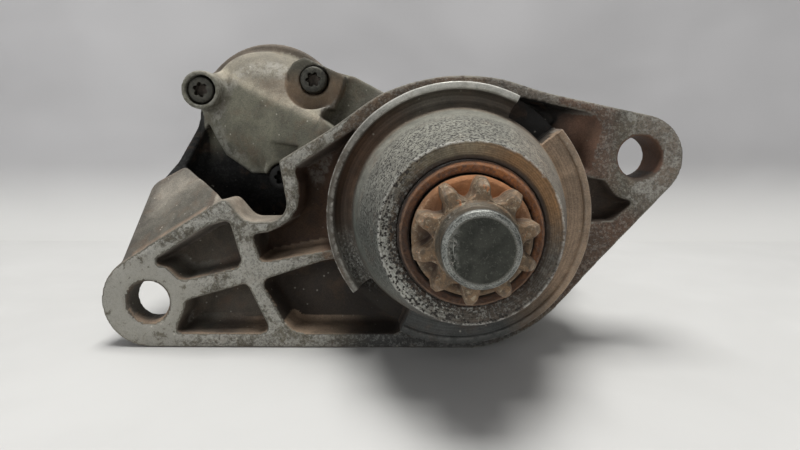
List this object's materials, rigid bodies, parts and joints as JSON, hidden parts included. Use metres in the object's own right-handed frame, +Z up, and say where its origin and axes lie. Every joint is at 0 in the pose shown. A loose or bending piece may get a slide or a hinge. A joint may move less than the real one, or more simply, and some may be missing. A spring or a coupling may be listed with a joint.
{
  "type": "starter motor",
  "caption": "Starter motor with cast nose and two-ear webbed flange, sliding pinion, planetary reduction, permanent-magnet motor and side solenoid.",
  "frame": {"origin": "centre of the front face of the stub that ends the pinion shaft, on the pinion axis, 65.7 mm in front of the mounting face of the ears", "axes": "-Y along the pinion axis towards the pinion, +Z up as it stands on the flange's flat edge, +X towards the right ear seen from the pinion end"},
  "size_m": [0.1771, 0.2267, 0.0995],
  "materials": {
    "cast_aluminium": "sand-cast, weathered, machined on the mounting face",
    "steel": "ground",
    "rust": "rusted",
    "rusty_steel": "hardened steel with surface rust",
    "dark_steel": "phosphated",
    "zinc_plate": "zinc plated, dulled",
    "plastic": "glass-filled, satin",
    "rubber": "matt",
    "black_paint": "satin black paint, chipped",
    "ferrite": "fired ferrite",
    "copper": "copper, dulled",
    "bronze": "sintered bronze",
    "carbon": "copper carbon"
  },
  "bodies": {
    "housing": {"drive_housing": "cast_aluminium", "needle_bearing": "steel", "nose_seal": "rust", "fork_pin": "steel", "fork_bracket": "zinc_plate", "fork_pad": "rubber", "ring_gear": "plastic", "gear_cover": "zinc_plate", "yoke": "black_paint", "magnet_1": "ferrite", "magnet_2": "ferrite", "magnet_3": "ferrite", "magnet_4": "ferrite", "brush_holder": "zinc_plate", "rear_cover": "black_paint", "rear_bush": "bronze", "through_bolt_1": "zinc_plate", "through_bolt_2": "zinc_plate", "solenoid_case": "zinc_plate", "solenoid_coil": "copper", "solenoid_core": "steel", "plunger_spring": "steel", "solenoid_cap": "plastic", "battery_stud": "copper", "motor_stud": "copper", "battery_nut": "zinc_plate", "motor_nut": "zinc_plate", "control_blade": "bronze", "motor_lead": "copper", "brush_1": "carbon", "brush_spring_1": "steel", "brush_2": "carbon", "brush_spring_2": "steel", "brush_3": "carbon", "brush_spring_3": "steel", "brush_4": "carbon", "brush_spring_4": "steel", "solenoid_screw_1": "dark_steel", "solenoid_screw_2": "dark_steel", "solenoid_screw_3": "dark_steel"},
    "drive_slider": {"shift_ring": "plastic"},
    "clutch": {"clutch_housing": "steel", "clutch_cover": "zinc_plate", "clutch_roller_1": "steel", "clutch_roller_2": "steel", "clutch_roller_3": "steel", "clutch_roller_4": "steel", "clutch_roller_5": "steel"},
    "pinion": {"pinion_shaft": "rusty_steel"},
    "fork": {"fork_lever": "plastic"},
    "plunger": {"plunger": "steel"},
    "contact": {"contact_rod": "copper"},
    "carrier": {"planet_carrier": "steel"},
    "planet_1": {"planet_gear_1": "steel"},
    "planet_2": {"planet_gear_2": "steel"},
    "planet_3": {"planet_gear_3": "steel"},
    "armature": {"armature_shaft": "steel", "armature_core": "steel", "armature_windings": "copper", "commutator": "copper"}
  },
  "joints": [
    {"name": "armature_spin", "type": "hinge", "parent": "housing", "child": "armature", "pos_m": [0, 0.1657, 0], "axis": [0, 1, 0], "continuous": true},
    {"name": "carrier_spin", "type": "hinge", "parent": "housing", "child": "carrier", "pos_m": [0, 0.1257, 0], "axis": [0, 1, 0], "continuous": true},
    {"name": "planet_1_spin", "type": "hinge", "parent": "carrier", "child": "planet_1", "pos_m": [0, 0.1365, 0.0189], "axis": [0, 1, 0], "continuous": true},
    {"name": "planet_2_spin", "type": "hinge", "parent": "carrier", "child": "planet_2", "pos_m": [-0.01637, 0.1365, -0.00945], "axis": [0, 1, 0], "continuous": true},
    {"name": "planet_3_spin", "type": "hinge", "parent": "carrier", "child": "planet_3", "pos_m": [0.01637, 0.1365, -0.00945], "axis": [0, 1, 0], "continuous": true},
    {"name": "drive_slide", "type": "slide", "parent": "housing", "child": "drive_slider", "axis": [0, -1, 0], "range_m": [0, 0.012]},
    {"name": "clutch_spin", "type": "hinge", "parent": "drive_slider", "child": "clutch", "pos_m": [0, 0.0957, 0], "axis": [0, 1, 0], "continuous": true},
    {"name": "pinion_spin", "type": "hinge", "parent": "clutch", "child": "pinion", "pos_m": [0, 0.0657, 0], "axis": [0, 1, 0], "continuous": true},
    {"name": "fork_swing", "type": "hinge", "parent": "housing", "child": "fork", "pos_m": [-0.03459, 0.1137, 0.01574], "axis": [-0.4141, 0, -0.9102], "range_deg": [0, 18.19]},
    {"name": "plunger_slide", "type": "slide", "parent": "housing", "child": "plunger", "axis": [0, 1, 0], "range_m": [0, 0.01073], "deforming": ["plunger_spring"]},
    {"name": "contact_slide", "type": "slide", "parent": "housing", "child": "contact", "axis": [0, 1, 0], "range_m": [0, 0.00301]}
  ],
  "couplings": [
    {"joint": "carrier_spin", "follows": "armature_spin", "ratio": 0.22222},
    {"joint": "clutch_spin", "follows": "armature_spin", "ratio": 0.22222},
    {"joint": "planet_1_spin", "follows": "armature_spin", "ratio": -0.62222},
    {"joint": "planet_2_spin", "follows": "armature_spin", "ratio": -0.62222},
    {"joint": "planet_3_spin", "follows": "armature_spin", "ratio": -0.62222},
    {"joint": "fork_swing", "follows": "drive_slide", "rad_per_m": 26.426},
    {"joint": "plunger_slide", "follows": "drive_slide", "ratio": 0.89369},
    {"joint": "contact_slide", "follows": "drive_slide", "ratio": 0.25}
  ]
}
